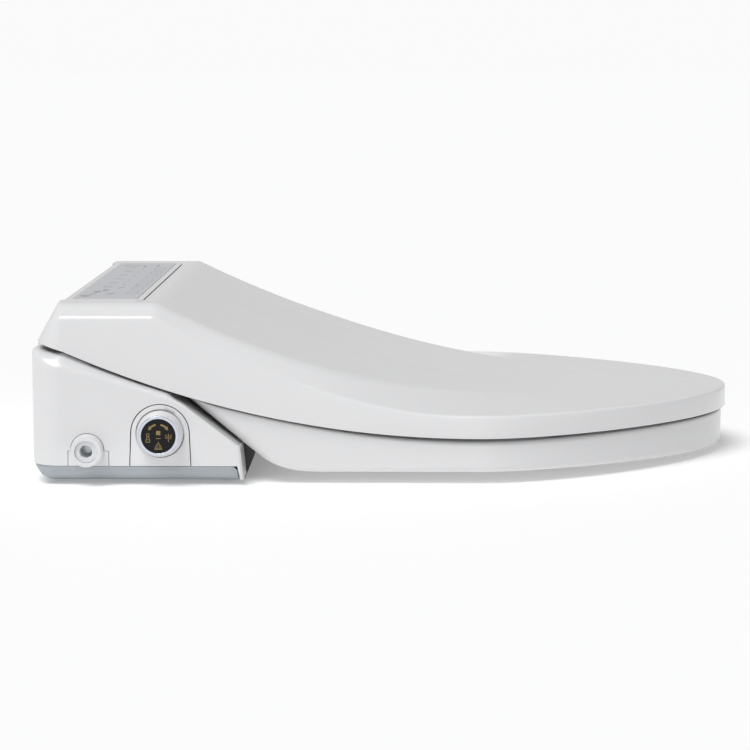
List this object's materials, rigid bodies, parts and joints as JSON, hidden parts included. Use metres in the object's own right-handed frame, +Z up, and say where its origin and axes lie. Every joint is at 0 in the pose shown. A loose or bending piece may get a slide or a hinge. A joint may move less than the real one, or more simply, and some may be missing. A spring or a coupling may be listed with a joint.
{
  "type": "electric bidet seat",
  "caption": "Electric bidet seat with a hinged seat and lid on a control housing, side dial, side water inlet, sliding nozzles and a warm air dryer.",
  "frame": {"origin": "midpoint between the two bowl bolts, on the plane the base rests on", "axes": "+X towards the front tip, +Y towards the seated user's left, +Z up"},
  "size_m": [0.5196, 0.402, 0.1293],
  "materials": {
    "white_gloss": "glossy",
    "lid_white": "glossy",
    "seat_white": "glossy",
    "base_grey": "satin",
    "fascia_black": "glossy",
    "label_grey": "satin",
    "window_black": "glossy",
    "dial_black": "glossy",
    "dial_silver": "satin",
    "icon_gilt": "satin",
    "grey_plastic": "satin",
    "light_plastic": "satin",
    "steel": "satin",
    "rubber_grey": "matte",
    "board_green": "satin",
    "copper_foil": "satin",
    "hose_clear": "satin"
  },
  "bodies": {
    "housing": {"housing_cover": "white_gloss", "base_tray": "base_grey", "front_fascia": "fascia_black", "panel_frame": "white_gloss", "panel_label": "label_grey", "display_window": "window_black", "dial_panel": "white_gloss", "dial_encoder": "grey_plastic", "inlet_panel": "white_gloss", "inlet_nipple": "label_grey", "inlet_strainer": "steel", "hinge_pins": "steel", "seat_damper": "grey_plastic", "lid_damper": "grey_plastic", "nozzle_carrier": "grey_plastic", "nozzle_motors": "steel", "solenoid_valve": "grey_plastic", "inlet_hose": "hose_clear", "water_tank": "light_plastic", "tank_heater": "steel", "diverter_valve": "grey_plastic", "wash_hose": "hose_clear", "dryer_blower": "grey_plastic", "dryer_motor": "steel", "dryer_duct": "grey_plastic", "dryer_heater": "copper_foil", "deodorizer_case": "light_plastic", "main_board": "board_green", "panel_board": "board_green", "transformer": "copper_foil", "cord_gland": "rubber_grey", "base_pads": "rubber_grey", "base_screws": "steel"},
    "seat": {"seat_top": "seat_white", "seat_bottom": "light_plastic", "seat_heater": "copper_foil", "seat_arms": "seat_white", "seat_bumpers": "rubber_grey", "seat_sensor": "board_green"},
    "lid": {"lid_shell": "lid_white", "lid_bumpers": "rubber_grey"},
    "dial": {"dial_knob": "white_gloss", "dial_ring": "dial_silver", "dial_shaft": "steel"},
    "dial_button": {"dial_face": "dial_black", "dial_icons": "icon_gilt"},
    "wash_tube": {"wash_nozzle": "light_plastic", "wash_tip": "white_gloss"},
    "wash_gear": {"wash_pinion": "light_plastic"},
    "bidet_tube": {"bidet_nozzle": "light_plastic", "bidet_tip": "white_gloss"},
    "bidet_gear": {"bidet_pinion": "light_plastic"},
    "flap": {"dryer_flap": "fascia_black"},
    "dryer_fan": {"dryer_impeller": "light_plastic"},
    "odour_fan": {"deodorizer_fan": "grey_plastic"},
    "filter": {"deodorizer_filter": "white_gloss"},
    "plate": {"mount_plate": "grey_plastic"},
    "release": {"release_button": "light_plastic"}
  },
  "joints": [
    {"name": "seat_hinge", "type": "hinge", "parent": "housing", "child": "seat", "pos_m": [-0.031, 0, 0.1165], "axis": [0, -1, 0], "range_deg": [0, 100]},
    {"name": "lid_hinge", "type": "hinge", "parent": "seat", "child": "lid", "pos_m": [-0.031, 0, 0.1165], "axis": [0, 1, 0], "range_deg": [-105, 0]},
    {"name": "dial_turn", "type": "hinge", "parent": "housing", "child": "dial", "pos_m": [0.0386, -0.2, 0.0374], "axis": [0, -1, 0], "range_deg": [-60, 60]},
    {"name": "dial_press", "type": "slide", "parent": "dial", "child": "dial_button", "axis": [0, 1, 0], "range_m": [0, 0.0015], "stiffness_N_per_m": 600},
    {"name": "wash_slide", "type": "slide", "parent": "housing", "child": "wash_tube", "axis": [0.866, 0, -0.5], "range_m": [0, 0.08]},
    {"name": "wash_gear_turn", "type": "hinge", "parent": "housing", "child": "wash_gear", "pos_m": [0.06946, 0, 0.01092], "axis": [0, 1, 0], "range_deg": [0, 765]},
    {"name": "bidet_slide", "type": "slide", "parent": "housing", "child": "bidet_tube", "axis": [0.866, 0, -0.5], "range_m": [0, 0.08]},
    {"name": "bidet_gear_turn", "type": "hinge", "parent": "housing", "child": "bidet_gear", "pos_m": [0.06946, 0, 0.01092], "axis": [0, 1, 0], "range_deg": [0, 765]},
    {"name": "flap_hinge", "type": "hinge", "parent": "housing", "child": "flap", "pos_m": [0.0956, 0, 0.016], "axis": [0, -1, 0], "range_deg": [0, 60]},
    {"name": "dryer_fan_turn", "type": "hinge", "parent": "housing", "child": "dryer_fan", "pos_m": [-0.008, 0.07, 0.042], "axis": [0, 1, 0], "continuous": true},
    {"name": "odour_fan_turn", "type": "hinge", "parent": "housing", "child": "odour_fan", "pos_m": [-0.015, 0.132, 0.035], "axis": [0, 1, 0], "continuous": true},
    {"name": "filter_slide", "type": "slide", "parent": "housing", "child": "filter", "axis": [0, 1, 0], "range_m": [0, 0.05]},
    {"name": "plate_slide", "type": "slide", "parent": "housing", "child": "plate", "axis": [-1, 0, 0], "range_m": [0, 0.09]},
    {"name": "release_press", "type": "slide", "parent": "housing", "child": "release", "axis": [0, -1, 0], "range_m": [0, 0.004], "stiffness_N_per_m": 400}
  ],
  "couplings": [
    {"joint": "wash_gear_turn", "follows": "wash_slide", "rad_per_m": 166.67},
    {"joint": "bidet_gear_turn", "follows": "bidet_slide", "rad_per_m": 166.67}
  ]
}
